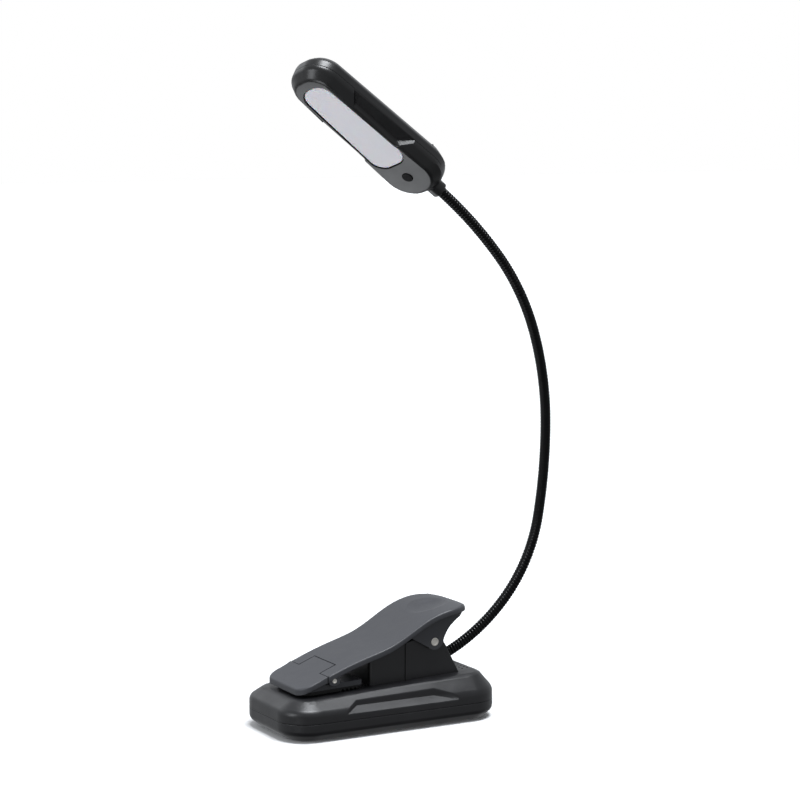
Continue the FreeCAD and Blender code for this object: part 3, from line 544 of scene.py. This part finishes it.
def round_edges(obj, share, width, segments=3, to_local=None):
    """Rounds edges. share(x, y, z, edge) gives each sharp edge's part of the width, or 0."""
    activate(obj)
    mesh = bmesh.new()
    mesh.from_mesh(obj.data)
    mesh.normal_update()
    layer = mesh.edges.layers.float.get("bevel_weight_edge") \
        or mesh.edges.layers.float.new("bevel_weight_edge")
    for edge in mesh.edges:
        edge[layer] = 0.0
        if len(edge.link_faces) != 2 or edge.calc_length() < TINY:
            continue
        if edge.calc_face_angle(0.0) < math.radians(SHARP_EDGE) or not edge.is_convex:
            continue
        place = middle(edge)
        if to_local is not None:
            place = to_local @ (place * MM) / MM
        edge[layer] = share(place.x, place.y, place.z, edge)
    mesh.to_mesh(obj.data)
    mesh.free()
    apply(obj, "BEVEL", limit_method="WEIGHT", width=width, segments=segments,
          use_clamp_overlap=False, loop_slide=False)


def finish(obj, material, body, nodes=(), angle=32.0):
    """Shades the piece, gives it its material, and sets it on its body."""
    apply(obj, "TRIANGULATE", min_vertices=5, ngon_method="BEAUTY")
    activate(obj)
    bpy.ops.object.shade_smooth_by_angle(angle=math.radians(angle))
    apply(obj, "WEIGHTED_NORMAL", keep_sharp=True, weight=80)
    obj.data.materials.clear()
    obj.data.materials.append(material)
    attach(obj, body)
    if nodes:
        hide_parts(*nodes)
    return obj


def dress(node, material):
    """Gives a CAD node that stays its material."""
    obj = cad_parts[node]
    obj.data.materials.clear()
    obj.data.materials.append(material)


# ---- base and post ----

def top_shell_share(x, y, z, edge):
    gap = base_outline_gap(x, y)
    on_outline = abs(gap) < ON_OUTLINE
    if abs(z - PARTING_HEIGHT) < ON_LEVEL and on_outline:
        return PARTING_SHARE
    if abs(z - SHOULDER_HEIGHT) < ON_LEVEL and on_outline:
        return 1.0
    if abs(z - deck_z(x)) < ON_LEVEL and abs(gap + DECK_INSET) < ON_DECK_EDGE:
        return 1.0
    beside_recess = abs(y) > BASE_HALF[1] - RECESS_DEPTH and z > RECESS_LOW
    if beside_recess and RECESS_ENDS[0] < x < RECESS_ENDS[1]:
        return FINE_SHARE
    upright = abs((edge.verts[1].co - edge.verts[0].co).normalized().z) > 0.9
    if upright and abs(x - POST_FRONT) < ON_POST and abs(abs(y) - POST_HALF) < ON_POST:
        return CORNER_SHARE
    in_post = POST_FRONT - ON_POST < x < POST_SEAM + ON_POST and abs(y) < POST_HALF + ON_POST
    on_rim = abs(y) > POST_HALF - POST_RIM or x < POST_FRONT + ON_POST
    if in_post and z > deck_z(x) + 0.5 and on_rim:
        return FINE_SHARE
    return 0.0


def bottom_shell_share(x, y, z, edge):
    gap = base_outline_gap(x, y)
    on_outline = abs(gap) < ON_OUTLINE
    if abs(z - PARTING_HEIGHT) < ON_LEVEL and on_outline:
        return PARTING_SHARE
    if abs(z - SOLE_HEIGHT) < ON_LEVEL and on_outline:
        return SOLE_SHARE
    if z < ON_LEVEL and gap > -5.0:
        return UNDERSIDE_SHARE
    return 0.0


def in_hole(x, z, pin, reach):
    """Whether an edge belongs to a pin's hole."""
    return math.hypot(x - pin[0], z - pin[1]) < reach


def housing_share(x, y, z, edge):
    if abs(abs(y) - POST_HALF) > ON_LEVEL or z < deck_z(x) + 0.3:
        return 0.0
    return 0.0 if in_hole(x, z, PIVOT, PIVOT_HOLE) else 1.0


class LAMP_OT_base(bpy.types.Operator):
    """Base shells and post, with their soft edges"""
    bl_idname = "lamp.base"
    bl_label = "Base and post"

    def execute(self, context):
        top = cad_copy("base_top_shell", "base_top_moulding")
        round_edges(top, top_shell_share, sizes().shoulder_round, 4)
        finish(top, shell_abs(), "base", ["base_top_shell"])
        bottom = cad_copy("base_bottom_shell", "base_bottom_moulding")
        round_edges(bottom, bottom_shell_share, sizes().shoulder_round, 4)
        finish(bottom, shell_abs(), "base", ["base_bottom_shell"])
        housing = cad_copy("post_rear_housing", "post_rear_moulding")
        round_edges(housing, housing_share, HOUSING_ROUND * MM, 3)
        finish(housing, shell_abs(), "base", ["post_rear_housing"])
        return {"FINISHED"}


# ---- clamp ----

def rim_share(edge):
    """Full rounding where the top skin turns down, half of it round the underside.

    The top's rounding grows by 0.6 over the 10 mm of the tail from x = 20 mm on."""
    rises = sorted(face.normal.z for face in edge.link_faces)
    x, y = (c / MM for c in edge.verts[0].co[:2])
    if rises[1] > 0.6 and abs(rises[0]) < 0.5:
        return 1.0 + 0.6 * min(max((x - 20.0) / 10.0, 0.0), 1.0)
    outer = abs(y) > 15.2 or x > 26.0
    return 0.5 if rises[0] < -0.6 and abs(rises[1]) < 0.5 and outer else 0.0


def lever_share(x, y, z, edge):
    if in_hole(x, z, PIVOT, PIVOT_HOLE) or in_hole(x, z, JAW_PIN, JAW_HOLE):
        return 0.0
    if x < LEVER_FORK[0] and abs(y) < LEVER_FORK[1] or x < LEVER_FRONT:
        return 0.0
    return rim_share(edge)


def flap_share(x, y, z, edge):
    if in_hole(x, z, JAW_PIN, JAW_HOLE) or x > FLAP_JOINT:
        return 0.0
    return rim_share(edge)


def top_skin(face):
    """Whether a face is part of the lever's upper side, near the tail."""
    return face.normal.z > 0.75 and face.calc_center_median().z > 0.0300


def press_hollow(obj):
    """Cuts the lever's top skin into a fine grid round the thumb hollow and sinks it."""
    centre_x, centre_y = (c * MM for c in LEVER_DIMPLE)
    radius, depth = sizes().dimple_radius, sizes().dimple_depth
    cell = HOLLOW_CELL * MM
    reach = int(radius * 1.15 / cell) + 1
    # Only faces of the tail are cut: those with a corner within 1.4 radii of the middle.
    low, high = centre_x - radius * 1.4, centre_x + radius * 1.4
    for axis, centre in ((0, centre_x), (1, centre_y)):
        for step in range(-reach, reach + 1):
            enter(obj, "FACE")
            pick(obj, "faces", lambda f: top_skin(f) and
                 any(low < v.co.x < high for v in f.verts))
            place = [0.0, 0.0, 0.0]
            place[axis] = centre + step * cell
            normal = [0.0, 0.0, 0.0]
            normal[axis] = 1.0
            bpy.ops.mesh.bisect(plane_co=place, plane_no=normal, threshold=CUT_MARGIN)
            leave()
    for vertex in obj.data.vertices:
        x, y, z = vertex.co
        far = math.hypot(x - centre_x, (y - centre_y) * HOLLOW_STRETCH) / radius
        # The line that the lever's upper skin keeps above and its underside keeps below.
        on_top = z > 0.0395 + (x - centre_x) * 0.12
        if far < 1 and on_top:
            soft = 1 - far * far
            vertex.co.z = z - depth * soft * soft * (3 - 2 * soft)


class LAMP_OT_clamp(bpy.types.Operator):
    """Lever with its thumb hollow, flap, rubber pad and pins"""
    bl_idname = "lamp.clamp"
    bl_label = "Clamp"

    def execute(self, context):
        lever = cad_copy("clamp_lever", "clamp_lever_moulding")
        round_edges(lever, lever_share, sizes().lever_round, 3)
        press_hollow(lever)
        finish(lever, lever_abs(), "lever", ["clamp_lever"])
        flap = cad_copy("jaw_flap", "jaw_flap_moulding")
        self.ease_tongue(flap)
        round_edges(flap, flap_share, sizes().lever_round, 3)
        finish(flap, lever_abs(), "jaw", ["jaw_flap"])
        pad = cad_copy("jaw_pad", "jaw_rubber_pad")
        round_edges(pad, lambda x, y, z, edge: 1.0, PAD_ROUND * MM, 2)
        finish(pad, pad_rubber(), "jaw", ["jaw_pad"])
        self.make_pin("pivot_rivet", PIVOT, *PIVOT_PIN, "base", ["pivot_pin"])
        self.make_pin("jaw_rivet", JAW_PIN, *JAW_PIN_SIZE, "lever", ["jaw_pin"])
        return {"FINISHED"}

    def ease_tongue(self, flap):
        """Draws the tongue's sides and end in a little, so that the joint shows as a line."""
        for axis, level, way in ((1, TONGUE[1], (0, -TONGUE_GAP, 0)),
                                 (1, -TONGUE[1], (0, TONGUE_GAP, 0)),
                                 (0, TONGUE[0], (-TONGUE_GAP, 0, 0))):
            enter(flap, "VERT")
            pick(flap, "verts", lambda v: abs(v.co[axis] - level * MM) < ON_TONGUE)
            bpy.ops.transform.translate(value=Vector(way) * MM)
            leave()

    def make_pin(self, name, place, radius, half, body, nodes):
        """Steel pin with a rounded rim and a shallow ring turned into each end."""
        deselect()
        bpy.ops.mesh.primitive_cylinder_add(
            vertices=56, radius=radius * MM, depth=2 * half * MM,
            location=(place[0] * MM, 0, place[1] * MM), rotation=(math.pi / 2, 0, 0))
        pin = bpy.context.object
        pin.name = name
        set_place(pin)
        enter(pin, "FACE")
        pick(pin, "faces", lambda f: abs(f.normal.y) > 0.9)
        bpy.ops.mesh.inset(thickness=radius * 0.34 * MM, depth=0)
        bpy.ops.mesh.inset(thickness=radius * 0.08 * MM, depth=-0.12 * MM)
        leave()
        round_edges(pin, lambda x, y, z, edge: 1.0 if abs(y) > half - 0.01 else 0.0,
                    PIN_ROUND * MM, 3)
        finish(pin, plated_steel(), body, nodes)


# ---- neck ----

def along_neck(obj, start):
    """Bends a straight piece that runs up +Z onto the neck's line, from start millimetres."""
    mesh = obj.data
    count = len(mesh.vertices)
    place = np.empty(count * 3)
    mesh.vertices.foreach_get("co", place)
    place = place.reshape(-1, 3)
    for i, (a, b, up) in enumerate(place):
        x, z, heading = neck_point(start + up / MM)
        place[i] = (x * MM - math.sin(heading) * a, b, z * MM + math.cos(heading) * a)
    mesh.vertices.foreach_set("co", place.ravel())
    mesh.update()


def wound_piece(name, start, length):
    """A length of wound wire: one turn's profile carried round by a screw, cut square.

    The circle only makes the object; the profile takes the place of its mesh."""
    radius, pitch = sizes().hose_radius, sizes().winding_pitch
    depth = sizes().winding_depth
    deselect()
    bpy.ops.mesh.primitive_circle_add(vertices=7, radius=radius, location=(0, 0, 0))
    obj = bpy.context.object
    obj.name = name
    mesh = bmesh.new()
    chain = []
    for part in (0.0, 0.12, 0.28, 0.5, 0.72, 0.88, 1.0):
        swell = math.sin(math.pi * part) ** 0.6 if 0 < part < 1 else 0.0
        chain.append(mesh.verts.new((radius - depth * (1 - swell), 0,
                                     (part - 1.0) * pitch)))
    for a, b in zip(chain, chain[1:]):
        mesh.edges.new((a, b))
    mesh.to_mesh(obj.data)
    mesh.free()
    turns = int(math.ceil(length * MM / pitch)) + 1
    apply(obj, "SCREW", axis="Z", angle=2 * math.pi, screw_offset=pitch, iterations=turns,
          steps=TURN_STEPS, render_steps=TURN_STEPS, use_merge_vertices=True, merge_threshold=TINY,
          use_smooth_shade=True)
    for height, keep_above in ((0.0, True), (length * MM, False)):
        enter(obj, "FACE")
        bpy.ops.mesh.select_all(action="SELECT")
        bpy.ops.mesh.bisect(plane_co=(0, 0, height), plane_no=(0, 0, 1), use_fill=True,
                            clear_inner=keep_above, clear_outer=not keep_above,
                            threshold=CUT_MARGIN)
        leave()
    enter(obj, "FACE")
    bpy.ops.mesh.select_all(action="SELECT")
    bpy.ops.mesh.remove_doubles(threshold=TINY)
    bpy.ops.mesh.normals_make_consistent(inside=False)
    leave()
    along_neck(obj, start)
    return obj


def plain_piece(name, start, length, radius):
    """A length of smooth round cable, cut into rings so that it can bend."""
    deselect()
    bpy.ops.mesh.primitive_cylinder_add(vertices=16, radius=radius, depth=length * MM,
                                        location=(0, 0, length * MM / 2))
    obj = bpy.context.object
    obj.name = name
    set_place(obj)
    for step in range(1, int(length / CABLE_RING)):
        enter(obj, "FACE")
        bpy.ops.mesh.select_all(action="SELECT")
        bpy.ops.mesh.bisect(plane_co=(0, 0, step * CABLE_RING * MM), plane_no=(0, 0, 1),
                            threshold=CUT_MARGIN)
        leave()
    along_neck(obj, start)
    return obj


class LAMP_OT_neck(bpy.types.Operator):
    """Wound neck and its cable in five lengths along the neck's line, and the neck's collar"""
    bl_idname = "lamp.neck"
    bl_label = "Neck"

    def execute(self, context):
        # Five lengths, one over each joint, that meet midway between two joints.
        joints = [NECK_ROOT + SPAN_LENGTH * (i + 1) for i in range(5)]
        stops = [0.0] + [(a + b) / 2 for a, b in zip(joints, joints[1:])] + [neck_length()]
        for i in range(5):
            start, end = stops[i], stops[i + 1]
            ways = [neck_point(joints[i] + side * BLEND_REACH) for side in (-1, 1)]
            hose = wound_piece("neck_winding_%d" % (i + 1), start, end - start)
            cable = plain_piece("neck_cable_%d" % (i + 1), start, end - start,
                                sizes().cable_radius)
            spans = ([1, 2], [3], [4], [5], [6])[i]
            for obj, material, slot_name, kind in (
                    (hose, neck_lacquer(), "hose_black_metal", "hose_span_%d"),
                    (cable, lead_pvc(), "cable_pvc", "cable_span_%d")):
                activate(obj)
                bpy.ops.object.shade_smooth_by_angle(angle=math.radians(60))
                obj.data.materials.clear()
                obj.data.materials.append(material)
                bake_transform(obj)
                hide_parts(*[kind % n for n in spans])
        collar = cad_copy("neck_collar", "neck_collar_sleeve")
        round_edges(collar, lambda x, y, z, edge: 1.0, COLLAR_ROUND * MM, 2)
        finish(collar, head_abs(), "head", ["neck_collar"])
        return {"FINISHED"}


# ---- head ----

def head_half_width(x):
    """Half the head's width, which narrows from the neck to the tip."""
    return (HEAD_WIDTHS[0] + (HEAD_WIDTHS[1] - HEAD_WIDTHS[0]) * x / HEAD_LENGTH) / 2


def end_gap(x, y):
    """How far inside the head's outline a point is, in millimetres."""
    near, far = (width / 2 - HEAD_FLAT for width in HEAD_WIDTHS)
    over_y = max(abs(y) - HEAD_FLAT, 0.0)
    if x < near:
        return near - math.hypot(x - near, over_y)
    if x > HEAD_LENGTH - far:
        return far - math.hypot(x - (HEAD_LENGTH - far), over_y)
    return head_half_width(x) - abs(y)


def head_share(x, y, z, edge):
    inside, rim = head_half_width(x) - abs(y), end_gap(x, y)
    if abs(z - HEAD_SEAM) < ON_LEVEL:
        if x < COLLAR_NOTCH[0] and abs(y) < COLLAR_NOTCH[1]:
            return 0.0
        outer = inside < ON_HEAD or x < SEAM_BENDS[0] or x > SEAM_BENDS[1]
        return HEAD_SEAM_SHARE if outer and inside < SEAM_REACH or rim < ON_HEAD else 0.0
    on_band = min(abs(z - level) for level in HEAD_BAND) < ON_LEVEL
    if on_band and min(inside, rim) < ON_HEAD:
        return 1.0
    if abs(abs(z) - HEAD_THICK / 2) < ON_LEVEL:
        if rim < HEAD_SLOPE:
            return 1.0
        return FINE_SHARE if z > 0 and LENS_WINDOW[0] < x < LENS_WINDOW[1] else 0.0
    in_scoop = z > HEAD_BAND[1] - SCOOP_SIZE[1] and inside < SCOOP_SIZE[0]
    return SCOOP_SHARE if in_scoop and SIDE_SCOOP[0] < x < SIDE_SCOOP[1] else 0.0


class LAMP_OT_head(bpy.types.Operator):
    """Head shells and opal panel"""
    bl_idname = "lamp.head"
    bl_label = "Head"

    def execute(self, context):
        to_local = head_matrix().inverted()
        for node, name in (("head_back_shell", "head_back_moulding"),
                           ("head_face_shell", "head_face_moulding")):
            shell = cad_copy(node, name)
            round_edges(shell, head_share, sizes().head_round, 3, to_local)
            finish(shell, head_abs(), "head", [node])
        lens = cad_copy("diffuser_lens", "opal_panel")
        top = HEAD_THICK / 2 - LENS_SINK
        round_edges(lens, lambda x, y, z, edge: 1.0 if abs(z - top) < ON_LEVEL else 0.0,
                    LENS_ROUND * MM, 3, to_local)
        finish(lens, opal_panel(), "head", ["diffuser_lens"])
        return {"FINISHED"}


# ---- what is inside, and the small metal parts ----

class LAMP_OT_inner(bpy.types.Operator):
    """Materials of the pieces that stay as the frame has them"""
    bl_idname = "lamp.inner"
    bl_label = "Inner pieces"

    def execute(self, context):
        for node, material in (
                ("base_screws", black_oxide()), ("post_screws", black_oxide()),
                ("head_screws", black_oxide()), ("battery_cell", cell_foil()),
                ("battery_tape", foam_tape()), ("battery_leads", lead_red()),
                ("main_board", board_laminate()), ("board_chips", chip_epoxy()),
                ("usb_socket", plated_steel()), ("status_light_guide", clear_acrylic()),
                ("clamp_spring_coil", spring_steel()), ("clamp_spring_arm", spring_steel()),
                ("neck_base_ferrule", zinc_steel()), ("neck_base_nut", zinc_steel()),
                ("neck_lead", lead_pvc()), ("neck_head_nut", zinc_steel()),
                ("led_board", white_laminate()), ("led_chips", phosphor()),
                ("tact_switch", chip_epoxy()), ("head_lead", lead_pvc()),
                ("head_button", button_rubber())):
            dress(node, material)
        return {"FINISHED"}


# ---- camera, floor and lights ----

CAMERA_AZIMUTH = -29.07           # degrees
CAMERA_ELEVATION = 6.9
CAMERA_TARGET = (13.12, 0, 129.23)
FOCAL_LENGTH = 112.37
LAMP_MIDDLE = (0, 0, 0.05)        # where the softboxes are aimed, in metres
HEAD_MIDDLE = (-0.02, 0, 0.235)   # where the two cards are aimed

# Name, place, aim, width, height, watts and spread in degrees. The two narrow cards light the
# head alone, so that the panel is bright over a dark neck.
LIGHTS = (
    ("left_softbox", (-1.3, -0.2, 0.5), LAMP_MIDDLE, 0.6, 0.8, 5.0, 180),
    ("back_softbox", (-0.6, 1.4, 0.9), LAMP_MIDDLE, 1.4, 0.6, 2.0, 180),
    ("rear_head_card", (-0.06, 0.12, 0.01), HEAD_MIDDLE, 0.2, 0.2, 0.024, 50),
    ("front_head_card", (-0.26, -0.17, 0.01), HEAD_MIDDLE, 0.2, 0.2, 0.045, 50),
)


class LAMP_OT_camera(bpy.types.Operator):
    """Camera a little above the lamp, to the left of its long side"""
    bl_idname = "lamp.camera"
    bl_label = "Camera"

    def execute(self, context):
        azimuth, elevation = math.radians(CAMERA_AZIMUTH), math.radians(CAMERA_ELEVATION)
        target = Vector(CAMERA_TARGET) * MM
        back = Vector((math.sin(azimuth) * math.cos(elevation),
                       -math.cos(azimuth) * math.cos(elevation), math.sin(elevation)))
        data = bpy.data.cameras.new("lamp_camera")
        data.sensor_width = 36.0
        data.lens = FOCAL_LENGTH
        data.clip_start, data.clip_end = 0.05, 60.0
        camera = bpy.data.objects.new("lamp_camera", data)
        camera.location = target + back * sizes().camera_distance
        camera.rotation_mode = "QUATERNION"
        camera.rotation_quaternion = (-back).to_track_quat("-Z", "Y")
        context.scene.collection.objects.link(camera)
        context.scene.camera = camera
        return {"FINISHED"}


class LAMP_OT_stage(bpy.types.Operator):
    """Pale floor and soft studio light"""
    bl_idname = "lamp.stage"
    bl_label = "Stage"

    def execute(self, context):
        deselect()
        bpy.ops.mesh.primitive_plane_add(size=sizes().floor_size, location=(0, 0, 0))
        floor = context.object
        floor.name = "studio_floor"
        set_place(floor)
        floor.data.materials.append(
            surface("Paper_floor_pale", colours().floor, roughness=0.9, grain_mm=2.0,
                    relief_mm=0.01, spread=0.01, cloud_mm=60.0))
        # The floor is seen but throws no light back, so the lamp's sides stay dark.
        floor.visible_diffuse = False
        floor.visible_glossy = False
        self.sky_panel("overhead_diffuser", (0.09, -0.14, 1.0), 3.8, 28.0)
        for row in LIGHTS:
            self.light(*row)
        self.world()
        context.scene.view_settings.view_transform = "Standard"
        return {"FINISHED"}

    def light(self, name, place, target, width, height, power, spread):
        """Rectangular light aimed at a point; the camera doesn't see it."""
        data = bpy.data.lights.new(name, "AREA")
        data.spread = math.radians(spread)
        data.shape = "RECTANGLE"
        data.size, data.size_y, data.energy = width, height, power
        data.color = linear(DAYLIGHT)[:3]
        lamp = bpy.data.objects.new(name, data)
        lamp.visible_camera = False
        lamp.location = place
        way = Vector(target) - Vector(place)
        lamp.rotation_mode = "QUATERNION"
        lamp.rotation_quaternion = way.to_track_quat("-Z", "Y")
        bpy.context.scene.collection.objects.link(lamp)

    def sky_panel(self, name, towards, strength, spread):
        """Even light from a wide overhead diffuser, the same all over the floor."""
        data = bpy.data.lights.new(name, "SUN")
        data.energy, data.angle = strength, math.radians(spread)
        data.color = linear(DAYLIGHT)[:3]
        lamp = bpy.data.objects.new(name, data)
        lamp.rotation_mode = "QUATERNION"
        lamp.rotation_quaternion = Vector(towards).to_track_quat("Z", "Y")
        bpy.context.scene.collection.objects.link(lamp)

    def world(self):
        """Soft surroundings: seen as white, brighter above and behind for what they light."""
        world = bpy.data.worlds.new("studio_surroundings")
        bpy.context.scene.world = world
        world.use_nodes = True
        tree = world.node_tree
        tree.nodes.clear()
        way = add_node(tree, "ShaderNodeLightPath")
        parts = add_node(tree, "ShaderNodeSeparateXYZ", None, {
            0: add_node(tree, "ShaderNodeTexCoord").outputs["Generated"]})
        below = add_node(tree, "ShaderNodeMapRange",
                         {"From Min": -0.9, "From Max": -0.05, "To Min": 0.08, "To Max": 0.4},
                         {"Value": parts.outputs["Z"]})
        behind = add_node(tree, "ShaderNodeMapRange",
                          {"From Min": -0.2, "From Max": 1.0, "To Min": 0.0, "To Max": 0.3},
                          {"Value": parts.outputs["Y"]})
        amount = add_node(tree, "ShaderNodeMath", None, {0: below.outputs[0],
                          1: behind.outputs[0]}, operation="ADD")
        soft = add_node(tree, "ShaderNodeBackground", {"Color": linear(DAYLIGHT)},
                        {"Strength": amount.outputs[0]})
        seen = add_node(tree, "ShaderNodeBackground",
                        {"Color": linear("#FFFFFF"), "Strength": 1.0})
        both = add_node(tree, "ShaderNodeMixShader", None,
                        {0: way.outputs["Is Camera Ray"], 1: soft.outputs[0],
                         2: seen.outputs[0]})
        add_node(tree, "ShaderNodeOutputWorld", None, {"Surface": both.outputs[0]})


class LAMP_PT_panel(bpy.types.Panel):
    """The lamp's sizes, colours and pieces"""
    bl_idname = "LAMP_PT_panel"
    bl_label = "Reading lamp"
    bl_space_type = "VIEW_3D"
    bl_region_type = "UI"
    bl_category = "Lamp"

    def draw(self, context):
        for group in (context.scene.lamp_sizes, context.scene.lamp_colours):
            box = self.layout.box()
            for name in group.__annotations__:
                box.prop(group, name)
        for operator in STEPS:
            self.layout.operator(operator.bl_idname)


STEPS = (LAMP_OT_camera, LAMP_OT_neck, LAMP_OT_base, LAMP_OT_clamp, LAMP_OT_head,
         LAMP_OT_inner, LAMP_OT_stage)
CLASSES = (LampSizes, LampColours) + STEPS + (LAMP_PT_panel,)


def register():
    for one in CLASSES:
        bpy.utils.register_class(one)
    bpy.types.Scene.lamp_sizes = bpy.props.PointerProperty(type=LampSizes)
    bpy.types.Scene.lamp_colours = bpy.props.PointerProperty(type=LampColours)


def unregister():
    del bpy.types.Scene.lamp_colours
    del bpy.types.Scene.lamp_sizes
    for one in reversed(CLASSES):
        bpy.utils.unregister_class(one)


def main():
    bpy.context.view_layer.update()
    register()
    for operator in STEPS:
        group, name = operator.bl_idname.split(".")
        getattr(getattr(bpy.ops, group), name)()
    deselect()


if __name__ == "__main__":
    main()
